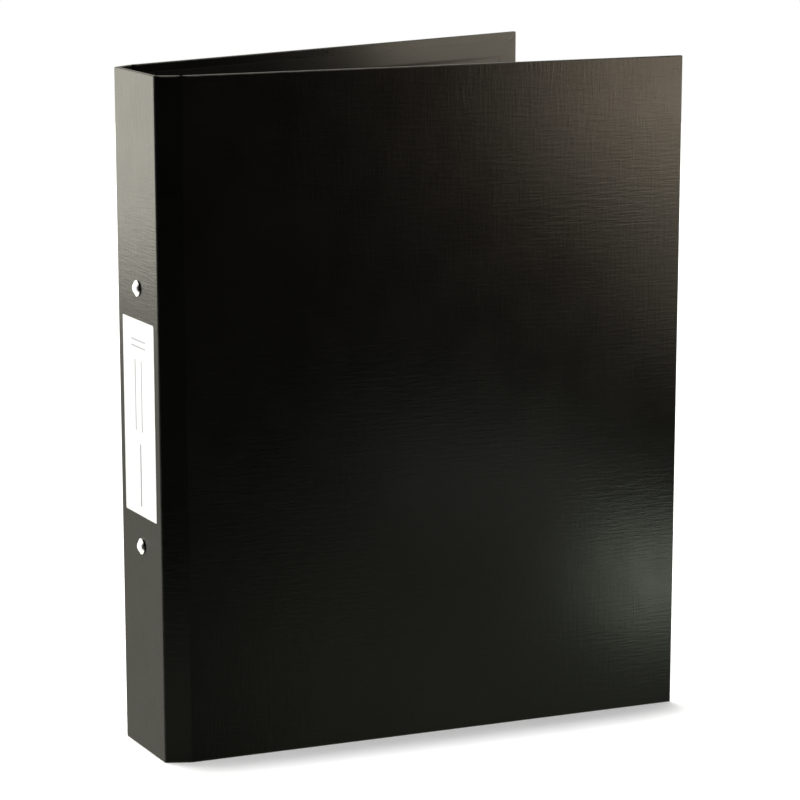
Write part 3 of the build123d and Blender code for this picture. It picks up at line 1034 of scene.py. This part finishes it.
def soft_light(name, place_at, aim, size, watts, colour=(1, 1, 1), glossy=True, diffuse=True):
    """A rectangular soft light that the camera doesn't see itself."""
    data = bpy.data.lights.new(name, "AREA")
    data.shape = "RECTANGLE"
    data.size, data.size_y = size
    data.energy = watts
    data.color = colour
    lamp = bpy.data.objects.new(name, data)
    lamp.location = place_at
    lamp.rotation_euler = (Vector(aim) - Vector(place_at)).to_track_quat("-Z", "Y").to_euler()
    lamp.visible_camera = False
    lamp.visible_glossy = glossy
    lamp.visible_diffuse = diffuse
    bpy.context.scene.collection.objects.link(lamp)
    return lamp


def light_only(lamp, words):
    """Let a lamp light only the pieces whose names hold one of the words."""
    lit = bpy.data.collections.new(f"{lamp.name}_lit")
    for piece in bpy.context.scene.objects:
        if piece.type == "MESH" and any(word in piece.name for word in words):
            lit.objects.link(piece)
    lamp.light_linking.receiver_collection = lit


def card_watts(radiance, size):
    """The power of a rectangular light of so much radiance."""
    return radiance * pi * size[0] * size[1]


def gloss_card(name, panel, u, z, distance, size, radiance, colour, inside, lit):
    """A small bright card whose soft reflection lies at (u, z) on a panel, seen from the camera's place."""
    depth = THICKNESS if inside else 0.0
    target = Vector(panel.at(np.array(u), np.array(depth), np.array(z)))
    normal = Vector((*panel.inward, 0)) * (1 if inside else -1)
    ray = (target - CAMERA_PLACE).normalized()
    mirrored = ray - 2 * ray.dot(normal) * normal
    watts = card_watts(radiance, size)
    card = soft_light(name, target + mirrored * distance, target, size, watts, colour, diffuse=False)
    if lit:
        light_only(card, lit)


soft_light("overhead_softbox", (0.1, 0.3, 3.0), (0.1, 0.3, 0.0), (6.0, 6.0), 170, glossy=False)
soft_light("left_softbox", (-2.0, -0.5, 0.8), (0, 0, 0.15), (1.5, 1.5), 30, glossy=False)

FRONT = ("front_cover_linen", "front_hinge_linen", "front_board_crease_linen", "front_spine_crease_linen")
BACK = ("back_cover_inner", "back_cover_linen")
RING_METAL = ("ring_housing", "blade", "ring_half_wire")
front_cover, back_cover, front_strip = covers["front"], covers["back"], strips["front"]

# Cards on the panels: name, panel, its inner side or not, u and z, distance, size, radiance, colour, lit
GLOSS_CARDS = (
    ("spine_top_card", spine, False, 0.022, 0.36, 0.55, (0.60, 0.38), 2.4, (1.0, 0.97, 0.84), ()),
    ("top_right_card", front_cover, False, 0.27, 0.33, 0.25, (0.18, 0.16), 4.0, (1.0, 0.83, 0.63), FRONT),
    ("right_card", front_cover, False, 0.28, 0.24, 0.20, (0.10, 0.14), 1.5, (1.0, 0.9, 0.7), FRONT),
    ("low_right_card", front_cover, False, 0.240, 0.065, 0.14, (0.06, 0.05), 3.0, (0.92, 1.0, 0.82), FRONT),
    ("low_card", front_cover, False, 0.15, 0.02, 0.3, (0.3, 0.15), 0.32, (0.92, 1.0, 0.72), FRONT),
    ("band_card", front_cover, False, 0.145, 0.125, 0.2, (0.12, 0.05), 0.42, (0.95, 1.0, 0.85), FRONT),
    ("strip_card", front_strip, False, 0.006, 0.025, 0.2, (0.2, 0.09), 0.22, (0.92, 1.0, 0.72), FRONT),
    ("back_cover_card", back_cover, True, 0.22, 0.33, 0.06, (0.12, 0.08), 2.4, (1.0, 0.9, 0.72), BACK),
)
for name, panel, inside, u, z, distance, size, radiance, colour, lit in GLOSS_CARDS:
    gloss_card(name, panel, u, z, distance, size, radiance, colour, inside, lit)

# Cards for the metal: name, place, size, radiance
RIVET_MIDDLE = Vector((OUTER_X, 0, HEIGHT / 2))
RIVET_CARD = ("rivet_card", RIVET_MIDDLE + Vector((-0.42, 0.44, -0.09)), (1.5, 2.0), 1.25)
RING_MIDDLE = (0.01, 0, HEIGHT / 2)
RING_CARDS = (
    ("metal_low_card", (0.9, 0.0, -0.15), (1.4, 1.2), 0.7),
    ("metal_front_card", (0.35, -0.8, 0.35), (1.0, 1.0), 0.55),
    ("metal_back_card", (0.35, 0.8, 0.35), (1.0, 1.0), 0.55),
    ("metal_top_card", (0.2, 0.0, 1.1), (1.2, 1.2), 0.8),
)


def metal_card(card, aim, lit, colour=(1, 1, 1)):
    """A big soft reflection for the metal pieces only."""
    name, where, size, radiance = card
    lamp = soft_light(name, where, aim, size, card_watts(radiance, size), colour, diffuse=False)
    light_only(lamp, lit)
    return lamp


metal_card(RIVET_CARD, RIVET_MIDDLE, ("rivet_turned",))
for card in RING_CARDS:
    lamp = metal_card(card, RING_MIDDLE, RING_METAL, (1.0, 0.98, 0.95))
    lamp.light_linking.blocker_collection = lamp.light_linking.receiver_collection


FLOOR_KEY_STRENGTH = 2.35
FLOOR_KEY_SPREAD = radians(5)
FLOOR_KEY_HEADING = Vector((0.02, -0.065, -1))


def make_floor_key():
    """A small steep key from behind that only the floor takes: it draws the narrow shadow at the foot."""
    data = bpy.data.lights.new("floor_key", "SUN")
    data.energy = FLOOR_KEY_STRENGTH
    data.angle = FLOOR_KEY_SPREAD
    lamp = bpy.data.objects.new("floor_key", data)
    lamp.rotation_euler = FLOOR_KEY_HEADING.to_track_quat("-Z", "Y").to_euler()
    bpy.context.scene.collection.objects.link(lamp)
    light_only(lamp, ("floor",))


make_floor_key()

STUDIO_COLOUR = (1.0, 0.975, 0.83, 1)
STUDIO_BACK = 0.68
STUDIO_LOW = 0.5


def make_world():
    """The studio round the binder: dark in front, bright behind the binder and steeply below."""
    world = bpy.data.worlds.new("studio")
    world.use_nodes = True
    tree = world.node_tree
    split = node(tree, "SeparateXYZ", {0: node(tree, "TexCoord").outputs["Generated"]})
    behind = ramp(tree, split.outputs[1], -0.1, 0.8, 0.0, STUDIO_BACK)
    below = ramp(tree, math(tree, "MULTIPLY", split.outputs[2], -1.0), 0.5, 0.85, 0.0, STUDIO_LOW)
    background = tree.nodes["Background"]
    background.inputs["Color"].default_value = STUDIO_COLOUR
    tree.links.new(math(tree, "MAXIMUM", behind, below), background.inputs["Strength"])
    bpy.context.scene.world = world


make_world()
bpy.context.scene.view_settings.view_transform = "Standard"
